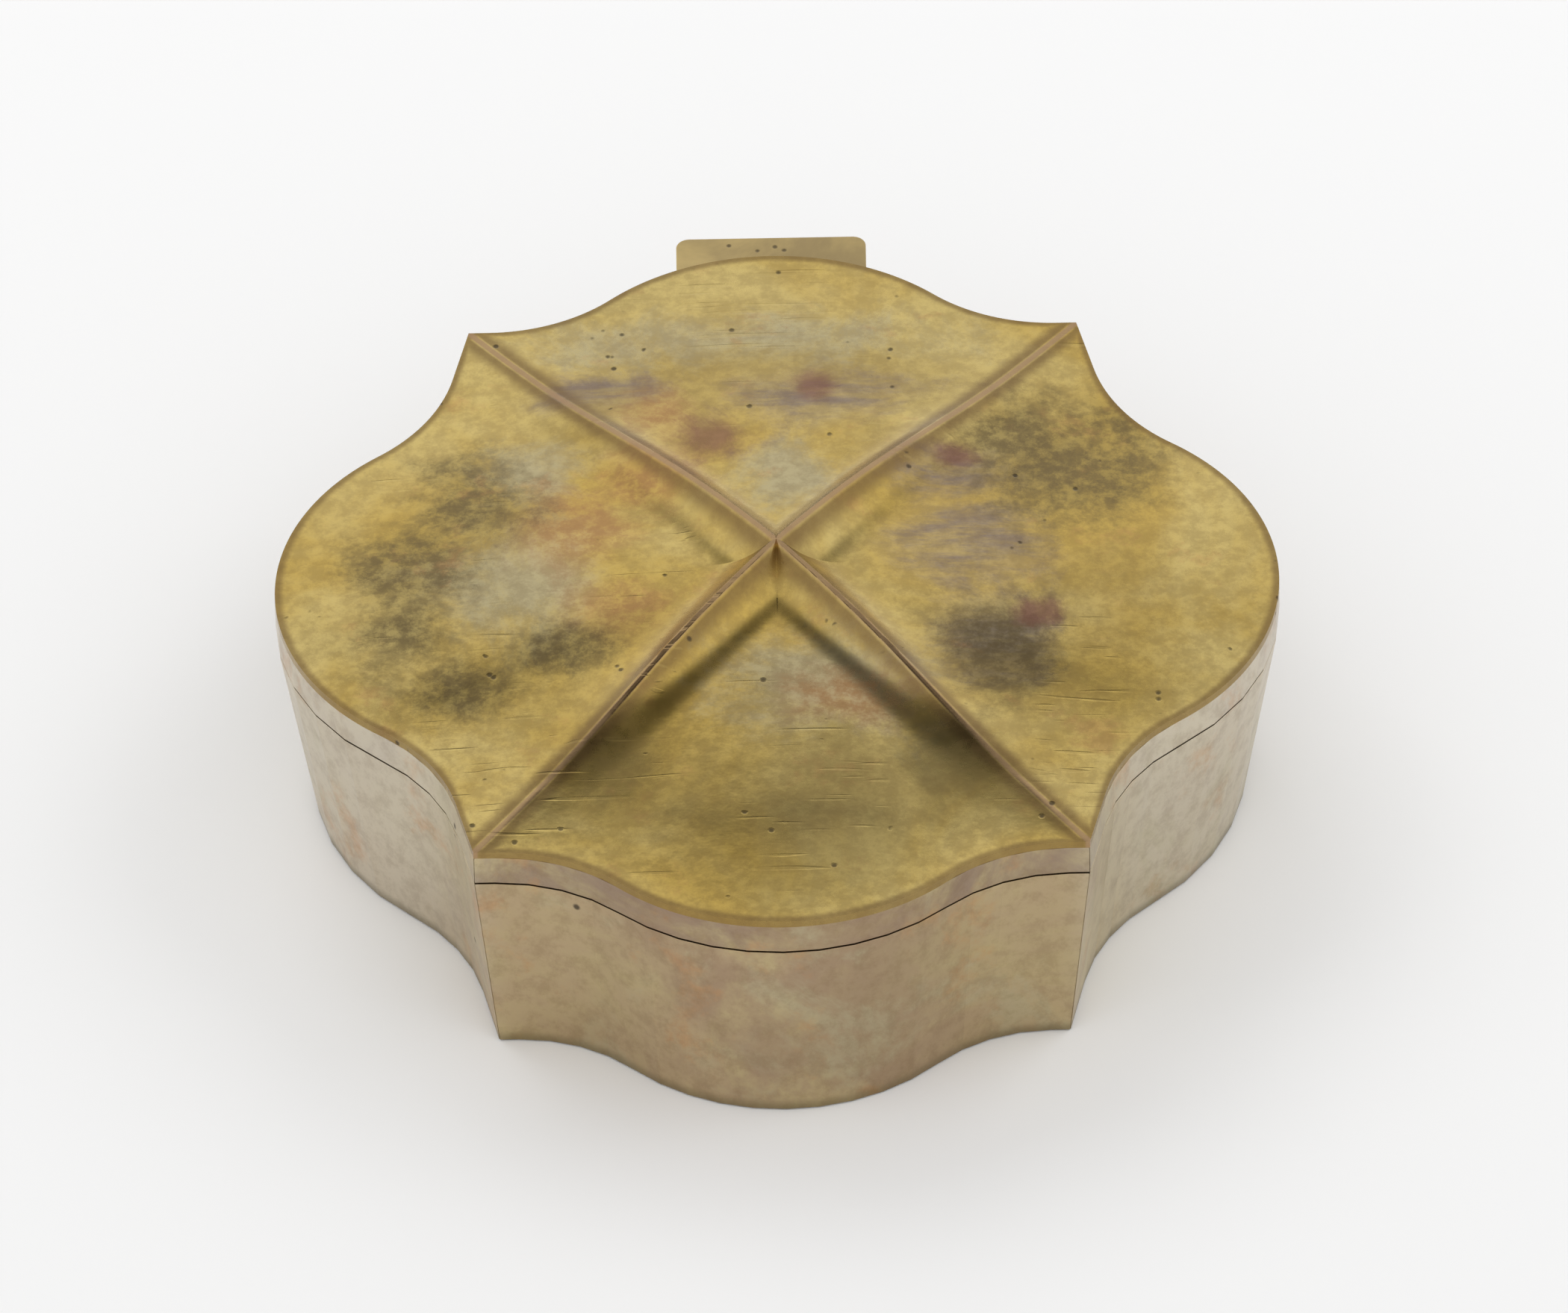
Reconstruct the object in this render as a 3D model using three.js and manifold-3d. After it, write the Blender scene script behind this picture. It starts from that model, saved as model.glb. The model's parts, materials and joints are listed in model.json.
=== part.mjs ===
// Lidded brass box with a quatrefoil plan, four ogee sides and a hinged lid with four crossing ridges.
// Millimetres, +Z up, front towards -Y. The origin is the middle of the flat underside.
import * as THREE from 'three';
import { mergeVertices } from 'three/addons/utils/BufferGeometryUtils.js';
import Module from 'manifold-3d';

const wasm = await Module();
wasm.setup();

// Plan, measured to the outside of the rim
const CORNER_X = 45.7;
const CORNER_Y = 59.0;
const FRONT_BULGE = 16.6;
const SIDE_BULGE = 29.3;
const FRONT_SIDE = { half: CORNER_X, bulge: FRONT_BULGE, leave: 0, straight: 3.1, hollow: 27 };
const FLANK_SIDE = { half: CORNER_Y, bulge: SIDE_BULGE, leave: 13 * Math.PI / 180, straight: 11, hollow: 30 };
const STRAIGHT_STATIONS = [0.45, 0.78];
const HOLLOW_STEPS = 4;
const SWELL_STEPS = 5;

// Search for the angle where the two arcs of a side meet
const SEARCH_STEPS = 60;
const SEARCH_MARGIN = 0.01;

// Heights
const SEAM_Z = 31.1;
const RIM_Z = 37.3;
const PEAK_RISE = 9.3;
const SEAM_GAP = 0.3;

// Sheet metal
const WALL = 1.2;
const FLOOR = 1.2;
const LID_SHEET = 1.2;
const BASE_NARROWING = 0.07;
const MITRE_GAP = 0.1;
const FLOOR_CLEARANCE = 0.15;

// Locating collar inside the mouth
const COLLAR_CLEARANCE = 0.3;
const COLLAR_WALL = 1.0;
const COLLAR_ABOVE_SEAM = 3.0;
const COLLAR_BELOW_SEAM = 5.0;

// Lid relief
const RIDGE_FLAT = 0.5;
const RIDGE_FILLET = 7.5;
const FILLET_POWER = 2.2;
const RIDGE_SWAY = 0.1;
const PANEL_RISE = 0.36;
const PANEL_ROUND = 2.2;
const PANEL_LIP = 1.5;
const RIM_FADE_POWER = 8;
const LID_RINGS = [0.05, 0.12, 0.22, 0.34, 0.47, 0.6, 0.72, 0.83, 0.92, 1];

// Hinge
const HINGE_WIDTH = 28.6;
const TAB_REACH = 4.7;
const TAB_CORNER = 2.0;
const TAB_BELOW_RIM = 0.4;
const TAB_SHEET = 2.3;
const TAB_CLEARANCE = 0.1;
const AXIS_BEHIND_LOBE = 2.6;
const KNUCKLE_RADIUS = 2.2;
const LID_KNUCKLE_LENGTH = 9.2;
const KNUCKLE_GAP = 0.3;
const PIN_RADIUS = 0.8;
const PIN_CLEARANCE = 0.08;
const PIN_PROUD = 0.6;
const PIN_ROUND = 0.4;
const PIN_ROUND_STEPS = 3;
const LEAF_DROP = 3.6;
const LEAF_HEIGHT = 7.5;
const LEAF_CORNER = 0.5;
const LEAF_CLEARANCE = 0.3;
const BORE_OVERRUN = 1;
const ROUND_STEPS = 20;
const CORNER_STEPS = 6;
const MERGE_DISTANCE = 1e-4;

const LOBE_Y = CORNER_Y + FRONT_BULGE;
const AXIS_Y = LOBE_Y + AXIS_BEHIND_LOBE;
const AXIS_Z = SEAM_Z;

// The angle where the hollow curve meets the swelling one, and the radius of the swelling one.
function solveOgee(side) {
  const { half, bulge, leave, straight, hollow } = side;
  const swellAt = (turn) => {
    const run = half - straight * Math.cos(leave) - hollow * (Math.sin(turn) - Math.sin(leave));
    return run / Math.sin(turn);
  };
  const rise = (turn) => straight * Math.sin(leave) + hollow * (Math.cos(leave) - Math.cos(turn))
    + swellAt(turn) * (1 - Math.cos(turn));
  let low = leave + SEARCH_MARGIN;
  let high = Math.PI / 2 - SEARCH_MARGIN;
  for (let step = 0; step < SEARCH_STEPS; step += 1) {
    const middle = (low + high) / 2;
    if (rise(middle) < bulge) low = middle;
    else high = middle;
  }
  return { turn: low, swell: swellAt(low) };
}

// How far a corner point moves in, along X and along Y, when both its sides move in by an offset.
function cornerInset(offset) {
  const a = FRONT_SIDE.leave;
  const b = FLANK_SIDE.leave;
  const determinant = Math.cos(a) * Math.cos(b) - Math.sin(a) * Math.sin(b);
  return {
    x: offset * (Math.cos(a) - Math.sin(b)) / determinant,
    y: offset * (Math.cos(b) - Math.sin(a)) / determinant,
  };
}

// One side of the plan from corner to corner: u runs along it and v points out of the box.
function sidePath(side, offset, endGap = 0) {
  const { turn, swell } = solveOgee(side);
  const inset = cornerInset(offset);
  const front = side === FRONT_SIDE;
  const cornerU = side.half - (front ? inset.x : inset.y);
  const cornerV = -(front ? inset.y : inset.x);
  const slope = Math.tan(side.leave);
  const half = [];
  for (let step = 0; step <= SWELL_STEPS; step += 1) {
    const angle = turn * step / SWELL_STEPS;
    const radius = swell - offset;
    half.push([radius * Math.sin(angle), side.bulge - swell + radius * Math.cos(angle)]);
  }
  const reach = swell + side.hollow;
  const centre = [reach * Math.sin(turn), side.bulge - swell + reach * Math.cos(turn)];
  for (let step = 1; step <= HOLLOW_STEPS; step += 1) {
    const angle = turn + (side.leave - turn) * step / HOLLOW_STEPS;
    const radius = side.hollow + offset;
    half.push([centre[0] - radius * Math.sin(angle), centre[1] - radius * Math.cos(angle)]);
  }
  const flatU = half[half.length - 1][0];
  for (const share of STRAIGHT_STATIONS) {
    const back = (cornerU - flatU) * (1 - share);
    half.push([cornerU - back, cornerV + back * slope]);
  }
  half.push([cornerU - endGap, cornerV + endGap * slope]);
  const mirrored = half.slice(1).reverse().map(([u, v]) => [-u, v]);
  return [...mirrored, ...half];
}

// The four sides, anticlockwise seen from above, starting at the front.
const SIDES = [
  { name: 'front', side: FRONT_SIDE, place: (u, v) => [u, -CORNER_Y - v] },
  { name: 'right', side: FLANK_SIDE, place: (u, v) => [CORNER_X + v, u] },
  { name: 'back', side: FRONT_SIDE, place: (u, v) => [-u, CORNER_Y + v] },
  { name: 'left', side: FLANK_SIDE, place: (u, v) => [-CORNER_X - v, -u] },
];

function sidePoints(entry, offset, endGap) {
  return sidePath(entry.side, offset, endGap).map(([u, v]) => entry.place(u, v));
}

function outlinePoints(offset) {
  return SIDES.flatMap((entry) => sidePoints(entry, offset, 0).slice(0, -1));
}

// The flanks of the body lean in towards the base, so a level below the seam is narrower in X.
function narrowing(z) {
  return z < SEAM_Z ? 1 - BASE_NARROWING * (SEAM_Z - z) / SEAM_Z : 1;
}

function atLevel([x, y], z) {
  return [x * narrowing(z), y, z];
}

function signedVolume(points, faces) {
  const a = new THREE.Vector3();
  const b = new THREE.Vector3();
  const c = new THREE.Vector3();
  let total = 0;
  for (const [i, j, k] of faces) {
    a.fromArray(points[i]);
    b.fromArray(points[j]);
    c.fromArray(points[k]);
    total += a.dot(b.cross(c));
  }
  return total;
}

function solid(points, faces) {
  const inward = signedVolume(points, faces) < 0;
  const geometry = new THREE.BufferGeometry();
  geometry.setAttribute('position', new THREE.Float32BufferAttribute(points.flat(), 3));
  geometry.setIndex(faces.flatMap(([i, j, k]) => (inward ? [i, k, j] : [i, j, k])));
  geometry.computeVertexNormals();
  return geometry;
}

function quad(faces, a, b, c, d) {
  faces.push([a, b, c], [a, c, d]);
}

// A bent strip of sheet between two offsets of one side, through the given levels.
function stripGeometry(entry, outerOffset, innerOffset, levels) {
  const outer = sidePoints(entry, outerOffset, MITRE_GAP / 2);
  const inner = sidePoints(entry, innerOffset, MITRE_GAP / 2);
  const points = [];
  const faces = [];
  outer.forEach((point, i) => {
    levels.forEach((z) => points.push(atLevel(point, z)));
    [...levels].reverse().forEach((z) => points.push(atLevel(inner[i], z)));
  });
  const loop = 2 * levels.length;
  for (let i = 0; i + 1 < outer.length; i += 1) {
    for (let j = 0; j < loop; j += 1) {
      const next = (j + 1) % loop;
      quad(faces, i * loop + j, i * loop + next, (i + 1) * loop + next, (i + 1) * loop + j);
    }
  }
  const last = (outer.length - 1) * loop;
  for (let j = 0; j + 1 < levels.length; j += 1) {
    const across = loop - 1 - j;
    quad(faces, j, across, across - 1, j + 1);
    quad(faces, last + j, last + j + 1, last + across - 1, last + across);
  }
  return solid(points, faces);
}

// A flat plate that fills the plan inside an offset.
function plateGeometry(offset, bottom, top) {
  const ring = outlinePoints(offset);
  const count = ring.length;
  const points = [...ring.map((p) => atLevel(p, bottom)), ...ring.map((p) => atLevel(p, top))];
  const faces = [];
  for (let i = 0; i < count; i += 1) {
    const next = (i + 1) % count;
    quad(faces, i, next, count + next, count + i);
  }
  const flat = ring.map(([x, y]) => new THREE.Vector2(x, y));
  for (const [i, j, k] of THREE.ShapeUtils.triangulateShape(flat, [])) {
    faces.push([i, k, j], [count + i, count + j, count + k]);
  }
  return solid(points, faces);
}

// Height of the lid over the rim, from the fraction of the way from the middle out to the rim.
function ridgeHeight(out) {
  return PEAK_RISE * (1 - out + RIDGE_SWAY * Math.sin(2 * Math.PI * out));
}

function panelHeight(out) {
  return PEAK_RISE * PANEL_RISE * (1 - out ** PANEL_ROUND) ** PANEL_LIP;
}

function lidHeight(x, y, out) {
  const length = Math.hypot(CORNER_X, CORNER_Y);
  const along = (Math.abs(x) * CORNER_X + Math.abs(y) * CORNER_Y) / length;
  const away = Math.abs(Math.abs(x) * CORNER_Y - Math.abs(y) * CORNER_X) / length;
  const beside = Math.max(0, away - RIDGE_FLAT);
  const blend = Math.max(0, 1 - beside / RIDGE_FILLET) ** FILLET_POWER;
  const panel = panelHeight(out);
  const ridge = Math.max(panel, ridgeHeight(Math.min(1, along / length)));
  return RIM_Z + panel + (ridge - panel) * blend * (1 - out ** RIM_FADE_POWER);
}

function lidGeometry() {
  const ring = outlinePoints(0);
  const count = ring.length;
  const crown = RIM_Z + PEAK_RISE;
  const points = [[0, 0, crown], [0, 0, crown - LID_SHEET]];
  for (const out of LID_RINGS) {
    const level = ring.map(([x, y]) => [x * out, y * out, lidHeight(x * out, y * out, out)]);
    points.push(...level, ...level.map(([x, y, z]) => [x, y, z - LID_SHEET]));
  }
  const faces = [];
  const top = (k, i) => 2 + 2 * k * count + (i % count);
  const under = (k, i) => top(k, i) + count;
  for (let i = 0; i < count; i += 1) {
    faces.push([0, top(0, i), top(0, i + 1)], [1, under(0, i + 1), under(0, i)]);
    for (let k = 0; k + 1 < LID_RINGS.length; k += 1) {
      quad(faces, top(k, i), top(k + 1, i), top(k + 1, i + 1), top(k, i + 1));
      quad(faces, under(k, i), under(k, i + 1), under(k + 1, i + 1), under(k + 1, i));
    }
    const rim = LID_RINGS.length - 1;
    quad(faces, top(rim, i), under(rim, i), under(rim, i + 1), top(rim, i + 1));
  }
  return solid(points, faces);
}

// Extrudes an outline drawn in the Y-Z plane along X.
function alongX(shape, start, length) {
  const options = { depth: length, bevelEnabled: false, curveSegments: ROUND_STEPS };
  const geometry = new THREE.ExtrudeGeometry(shape, options);
  const turn = new THREE.Matrix4().makeBasis(
    new THREE.Vector3(0, 1, 0),
    new THREE.Vector3(0, 0, 1),
    new THREE.Vector3(1, 0, 0),
  );
  geometry.applyMatrix4(turn);
  geometry.translate(start, 0, 0);
  return geometry;
}

function toManifold(source) {
  const geometry = source.clone();
  geometry.deleteAttribute('normal');
  geometry.deleteAttribute('uv');
  const merged = mergeVertices(geometry, MERGE_DISTANCE);
  const vertProperties = new Float32Array(merged.attributes.position.array);
  const triVerts = new Uint32Array(merged.index.array);
  return new wasm.Manifold(new wasm.Mesh({ numProp: 3, vertProperties, triVerts }));
}

function fromManifold(body) {
  const mesh = body.getMesh();
  const geometry = new THREE.BufferGeometry();
  geometry.setAttribute('position', new THREE.BufferAttribute(mesh.vertProperties.slice(), 3));
  geometry.setIndex(new THREE.BufferAttribute(mesh.triVerts.slice(), 1));
  geometry.computeVertexNormals();
  return geometry;
}

// A barrel round the hinge axis with a web that runs up (+1) or down (-1) to its leaf.
function knuckleGeometry(start, length, towards, webEnd) {
  const shape = new THREE.Shape();
  shape.moveTo(AXIS_Y - KNUCKLE_RADIUS, webEnd);
  shape.lineTo(AXIS_Y - KNUCKLE_RADIUS, AXIS_Z);
  shape.absarc(AXIS_Y, AXIS_Z, KNUCKLE_RADIUS, Math.PI, 0, towards < 0);
  shape.lineTo(AXIS_Y + KNUCKLE_RADIUS, webEnd);
  shape.closePath();
  const boreLength = length + 2 * BORE_OVERRUN;
  const bore = new THREE.CylinderGeometry(
    PIN_RADIUS + PIN_CLEARANCE, PIN_RADIUS + PIN_CLEARANCE, boreLength, ROUND_STEPS,
  );
  bore.rotateZ(Math.PI / 2);
  bore.translate(start + length / 2, AXIS_Y, AXIS_Z);
  const body = toManifold(alongX(shape, start, length)).subtract(toManifold(bore));
  return fromManifold(body);
}

// The back lobe between the hinge's two edges, moved out by a clearance.
function lobeArc(clearance) {
  const { swell } = solveOgee(FRONT_SIDE);
  const radius = swell + clearance;
  const spread = Math.asin(HINGE_WIDTH / 2 / radius);
  const points = [];
  for (let step = 0; step <= SWELL_STEPS * 2; step += 1) {
    const angle = spread * (1 - step / SWELL_STEPS);
    points.push([radius * Math.sin(angle), LOBE_Y - swell + radius * Math.cos(angle)]);
  }
  return points;
}

// A hinge leaf: it fits the round lobe in front and is straight at the back.
function leafGeometry(clearance, backY, corner, bottom, height) {
  const half = HINGE_WIDTH / 2;
  const shape = new THREE.Shape();
  const arc = lobeArc(clearance);
  shape.moveTo(arc[0][0], arc[0][1]);
  arc.slice(1).forEach(([x, y]) => shape.lineTo(x, y));
  shape.lineTo(-half, backY - corner);
  shape.absarc(-half + corner, backY - corner, corner, Math.PI, Math.PI / 2, true);
  shape.lineTo(half - corner, backY);
  shape.absarc(half - corner, backY - corner, corner, Math.PI / 2, 0, true);
  const options = { depth: height, bevelEnabled: false, curveSegments: CORNER_STEPS };
  const geometry = new THREE.ExtrudeGeometry(shape, options);
  geometry.translate(0, 0, bottom);
  return geometry;
}

function pinGeometry() {
  const half = HINGE_WIDTH / 2 + PIN_PROUD;
  const shoulder = PIN_RADIUS - PIN_ROUND;
  const profile = new THREE.Path();
  profile.moveTo(0, -half);
  profile.lineTo(shoulder, -half);
  profile.absarc(shoulder, -half + PIN_ROUND, PIN_ROUND, -Math.PI / 2, 0, false);
  profile.lineTo(PIN_RADIUS, half - PIN_ROUND);
  profile.absarc(shoulder, half - PIN_ROUND, PIN_ROUND, 0, Math.PI / 2, false);
  profile.lineTo(0, half);
  const geometry = new THREE.LatheGeometry(profile.getPoints(PIN_ROUND_STEPS), ROUND_STEPS);
  geometry.rotateZ(Math.PI / 2);
  geometry.translate(0, AXIS_Y, AXIS_Z);
  return geometry;
}

const finishes = {
  wall: { color: 0xa9997f, roughness: 0.35, metalness: 1 },
  lid: { color: 0xa58d52, roughness: 0.3, metalness: 1 },
  band: { color: 0xb39c86, roughness: 0.35, metalness: 1 },
  inside: { color: 0x8c7648, roughness: 0.45, metalness: 1 },
  hinge: { color: 0x94805c, roughness: 0.4, metalness: 1 },
  pin: { color: 0x8a8378, roughness: 0.35, metalness: 1 },
};

function piece(name, geometry, finish) {
  const mesh = new THREE.Mesh(geometry, new THREE.MeshStandardMaterial(finishes[finish]));
  mesh.name = name;
  return mesh;
}

const box = new THREE.Group();
const base = new THREE.Group();
const lid = new THREE.Group();
box.add(base, lid);

// Body: a floor, four ogee walls mitred at the arrises, and the collar inside the mouth
const WALL_TOP = SEAM_Z - SEAM_GAP / 2;
base.add(piece('floor_plate', plateGeometry(WALL + FLOOR_CLEARANCE, 0, FLOOR), 'inside'));
const collarOuter = WALL + COLLAR_CLEARANCE;
const collarLevels = [SEAM_Z - COLLAR_BELOW_SEAM, SEAM_Z, SEAM_Z + COLLAR_ABOVE_SEAM];
for (const entry of SIDES) {
  base.add(piece(`wall_${entry.name}`, stripGeometry(entry, 0, WALL, [0, WALL_TOP]), 'wall'));
  const collar = stripGeometry(entry, collarOuter, collarOuter + COLLAR_WALL, collarLevels);
  base.add(piece(`collar_${entry.name}`, collar, 'inside'));
}

// Lid: a raised sheet with four ridges on four band strips
const BAND_BOTTOM = SEAM_Z + SEAM_GAP / 2;
const BAND_TOP = RIM_Z - LID_SHEET;
lid.add(piece('lid_top', lidGeometry(), 'lid'));
for (const entry of SIDES) {
  lid.add(piece(`lid_band_${entry.name}`, stripGeometry(entry, 0, WALL, [BAND_BOTTOM, BAND_TOP]), 'band'));
}

// Hinge: a leaf and two knuckles on the body, a leaf and one knuckle on the lid, and the pin
const tabTop = RIM_Z - TAB_BELOW_RIM;
const tabBottom = tabTop - TAB_SHEET;
const tab = leafGeometry(TAB_CLEARANCE, LOBE_Y + TAB_REACH, TAB_CORNER, tabBottom, TAB_SHEET);
lid.add(piece('hinge_lid_leaf', tab, 'hinge'));
const lidKnuckle = knuckleGeometry(-LID_KNUCKLE_LENGTH / 2, LID_KNUCKLE_LENGTH, 1, tabBottom);
lid.add(piece('hinge_lid_knuckle', lidKnuckle, 'hinge'));
const leafTop = AXIS_Z - LEAF_DROP;
const leafBack = AXIS_Y + KNUCKLE_RADIUS;
const leafBottom = leafTop - LEAF_HEIGHT;
const leaf = leafGeometry(LEAF_CLEARANCE, leafBack, LEAF_CORNER, leafBottom, LEAF_HEIGHT);
base.add(piece('hinge_base_leaf', leaf, 'hinge'));
const rightStart = LID_KNUCKLE_LENGTH / 2 + KNUCKLE_GAP;
const knuckleLength = HINGE_WIDTH / 2 - rightStart;
const rightKnuckle = knuckleGeometry(rightStart, knuckleLength, -1, leafTop);
base.add(piece('hinge_base_knuckle_right', rightKnuckle, 'hinge'));
const leftKnuckle = knuckleGeometry(-rightStart - knuckleLength, knuckleLength, -1, leafTop);
base.add(piece('hinge_base_knuckle_left', leftKnuckle, 'hinge'));
base.add(piece('hinge_pin', pinGeometry(), 'pin'));

export default box;
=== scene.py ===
# %% [markdown]
# This lesson dresses a small brass box with a four-lobed plan, ogee walls and a hinged lid.
# A visual model could be drawn from a photograph alone, but its sizes would drift. So the measured
# model comes first, as a fixed frame, and every surface is made to fit it.

# %% Load the frame
import json
import math

import bmesh
import bpy
from mathutils import Matrix, Vector


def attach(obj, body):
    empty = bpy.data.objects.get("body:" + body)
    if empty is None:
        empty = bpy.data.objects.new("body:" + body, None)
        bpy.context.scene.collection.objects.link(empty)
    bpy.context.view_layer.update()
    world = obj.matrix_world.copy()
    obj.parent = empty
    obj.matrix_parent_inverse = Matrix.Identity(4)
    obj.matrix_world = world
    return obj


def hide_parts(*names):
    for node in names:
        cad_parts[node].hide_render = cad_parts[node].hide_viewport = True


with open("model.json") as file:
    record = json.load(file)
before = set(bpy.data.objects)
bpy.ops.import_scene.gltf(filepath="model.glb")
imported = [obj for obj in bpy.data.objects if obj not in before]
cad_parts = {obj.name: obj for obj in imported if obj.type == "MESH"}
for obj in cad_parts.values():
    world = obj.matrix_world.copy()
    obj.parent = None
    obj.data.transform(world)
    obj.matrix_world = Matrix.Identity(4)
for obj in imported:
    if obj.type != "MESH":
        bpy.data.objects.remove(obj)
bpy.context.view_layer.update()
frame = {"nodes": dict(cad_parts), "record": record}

# %% [markdown]
# The photograph looks down on the box at about 41 degrees, through a long lens that hardly draws
# the far side in. A tracking constraint could aim the camera, but it gives no hold on the small
# roll. So the camera's three axes are worked out from the angle and the roll.

# %% Camera axes
LOOK_DOWN = math.radians(41.2)
ROLL = math.radians(-1.03)

down_cos = math.cos(LOOK_DOWN)
down_sin = math.sin(LOOK_DOWN)
level_right = Vector((1, 0, 0))
level_down = Vector((0, -down_sin, -down_cos))
forward = Vector((0, down_cos, -down_sin))
right = level_right * math.cos(ROLL) - level_down * math.sin(ROLL)
down = level_right * math.sin(ROLL) + level_down * math.cos(ROLL)
print("camera looks along", tuple(round(v, 3) for v in forward))

# %% [markdown]
# The middle of the rim is easy to find in the photograph, so the camera is placed from it: back
# along its view, and a little aside, so that this point lies in the picture where it does there.

# %% Camera in its place
RIM_Z = 0.0373
RIM_RIGHT = -0.00105
RIM_DOWN = -0.0106
STAND_BACK = 5.95
LENS = 915.0
SENSOR_WIDTH = 36.0
NEAREST = 0.05
FARTHEST = 60.0

eye = Vector((0, 0, RIM_Z)) - right * RIM_RIGHT - down * RIM_DOWN - forward * STAND_BACK
camera_data = bpy.data.cameras.new("camera")
camera_data.lens = LENS
camera_data.sensor_width = SENSOR_WIDTH
camera_data.clip_start = NEAREST
camera_data.clip_end = FARTHEST
camera = bpy.data.objects.new("camera", camera_data)
bpy.context.scene.collection.objects.link(camera)
turn = Matrix((right, -down, -forward)).transposed()
camera.matrix_world = Matrix.Translation(eye) @ turn.to_4x4()
bpy.context.scene.camera = camera
print("camera at", tuple(round(v, 3) for v in eye))

# %% [markdown]
# Old brass isn't one colour, so its materials are sums of many soft masks. The nodes could be laid
# one by one, but a sum is easier to read as a Python expression. This small class stands for one
# socket, and every operator on it adds the Math node that does the same.


# %% Expressions that build nodes
class Wire:
    def __init__(self, tree, socket):
        self.tree = tree
        self.socket = socket

    def join(self, operation, other=None, swap=False):
        node = self.tree.nodes.new("ShaderNodeMath")
        node.operation = operation
        sources = [self] if other is None else [self, other]
        if swap:
            sources.reverse()
        for slot, source in enumerate(sources):
            if isinstance(source, Wire):
                self.tree.links.new(source.socket, node.inputs[slot])
            else:
                node.inputs[slot].default_value = source
        return Wire(self.tree, node.outputs[0])

    def __add__(self, other):
        return self.join("ADD", other)

    def __sub__(self, other):
        return self.join("SUBTRACT", other)

    def __mul__(self, other):
        return self.join("MULTIPLY", other)

    def __truediv__(self, other):
        return self.join("DIVIDE", other)

    def __pow__(self, other):
        return self.join("POWER", other)

    def __rsub__(self, other):
        return self.join("SUBTRACT", other, swap=True)

    def __abs__(self):
        return self.join("ABSOLUTE")

    __radd__ = __add__
    __rmul__ = __mul__

    def least(self, other):
        return self.join("MINIMUM", other)

    def most(self, other):
        return self.join("MAXIMUM", other)

    def held(self):
        return self.most(0.0).least(1.0)

    def root(self):
        return self.join("SQRT")


# %% [markdown]
# Any other node is made in one place. Its settings come first, because they can change which
# sockets it has, then a ramp's stops, and then the values or links of its sockets.


# %% Any other node
def add_node(tree, kind, settings=None, sockets=None, stops=()):
    node = tree.nodes.new(kind)
    for key, value in (settings or {}).items():
        setattr(node, key, value)
    for number, (position, colour) in enumerate(stops):
        node.color_ramp.elements[number].position = position
        node.color_ramp.elements[number].color = colour
    for key, value in (sockets or {}).items():
        source = value.socket if isinstance(value, Wire) else value
        if isinstance(source, bpy.types.NodeSocket):
            tree.links.new(source, node.inputs[key])
        else:
            node.inputs[key].default_value = source
    return node


# %% [markdown]
# A finish starts with an empty material. The stains of the real lid lie where they lie, so they are
# listed one by one, and noise makes their outlines ragged. An image could hold them too, but it would
# need an unwrapped mesh and would look soft from near.

# %% A finish
MM = 0.001
PATCH_ENDS = (0.2, 1.25)
MIX_SHARE = 0
MIX_FIRST = 6
MIX_SECOND = 7
MIX_RESULT = 2
METAL = 1.0


class Finish:
    def __init__(self, name):
        self.material = bpy.data.materials.new(name)
        self.material.use_nodes = True
        self.tree = self.material.node_tree
        self.shader = self.tree.nodes["Principled BSDF"]
        self.place = self.node("ShaderNodeTexCoord").outputs["Object"]
        split = self.node("ShaderNodeSeparateXYZ", {}, {"Vector": self.place})
        self.x = Wire(self.tree, split.outputs["X"])
        self.y = Wire(self.tree, split.outputs["Y"])
        self.z = Wire(self.tree, split.outputs["Z"])

    def node(self, kind, settings=None, sockets=None):
        return add_node(self.tree, kind, settings, sockets)

    def noise(self, scale, detail=3.0, rough=0.5, warp=0.0, vector=None):
        sockets = {"Vector": vector or self.place, "Scale": scale, "Detail": detail,
                   "Roughness": rough, "Distortion": warp}
        return Wire(self.tree, self.node("ShaderNodeTexNoise", {}, sockets).outputs["Fac"])

    def cells(self, scale):
        sockets = {"Vector": self.place, "Scale": scale}
        return Wire(self.tree, self.node("ShaderNodeTexVoronoi", {}, sockets).outputs["Distance"])

    def step(self, value, low, high):
        sockets = {"Value": value, "From Min": low, "From Max": high}
        settings = {"interpolation_type": "SMOOTHSTEP"}
        return Wire(self.tree, self.node("ShaderNodeMapRange", settings, sockets).outputs["Result"])

    def spots(self, noise, edges, stretch=None, turned=0.0):
        """A mask that rises between two levels of a noise, which can be drawn out along a line."""
        vector = None
        if stretch:
            sockets = {"Vector": self.place, "Rotation": (0, 0, turned), "Scale": stretch}
            vector = self.node("ShaderNodeMapping", {}, sockets).outputs["Vector"]
        return self.step(self.noise(*noise, vector=vector), *edges)

    def patches(self, places, wobble):
        """The strongest of some uneven patches: each has a middle and half sizes in millimetres."""
        strongest = None
        for x, y, wide, deep in places:
            across = (self.x - x * MM) / (wide * MM)
            along = (self.y - y * MM) / (deep * MM)
            patch = 1.0 - self.step((across ** 2.0 + along ** 2.0).root() + wobble, *PATCH_ENDS)
            strongest = patch if strongest is None else strongest.most(patch)
        return strongest

    def mix(self, share, first, second):
        sockets = {MIX_SHARE: share, MIX_FIRST: first, MIX_SECOND: second}
        return self.node("ShaderNodeMix", {"data_type": "RGBA"}, sockets).outputs[MIX_RESULT]

    def finish(self, colour, roughness, height, distance, strength):
        sockets = {"Height": height, "Distance": distance, "Strength": strength}
        bump = self.node("ShaderNodeBump", {}, sockets)
        self.tree.links.new(colour, self.shader.inputs["Base Color"])
        self.tree.links.new(roughness.socket, self.shader.inputs["Roughness"])
        self.tree.links.new(bump.outputs["Normal"], self.shader.inputs["Normal"])
        self.shader.inputs["Metallic"].default_value = METAL
        return self.material
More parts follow.
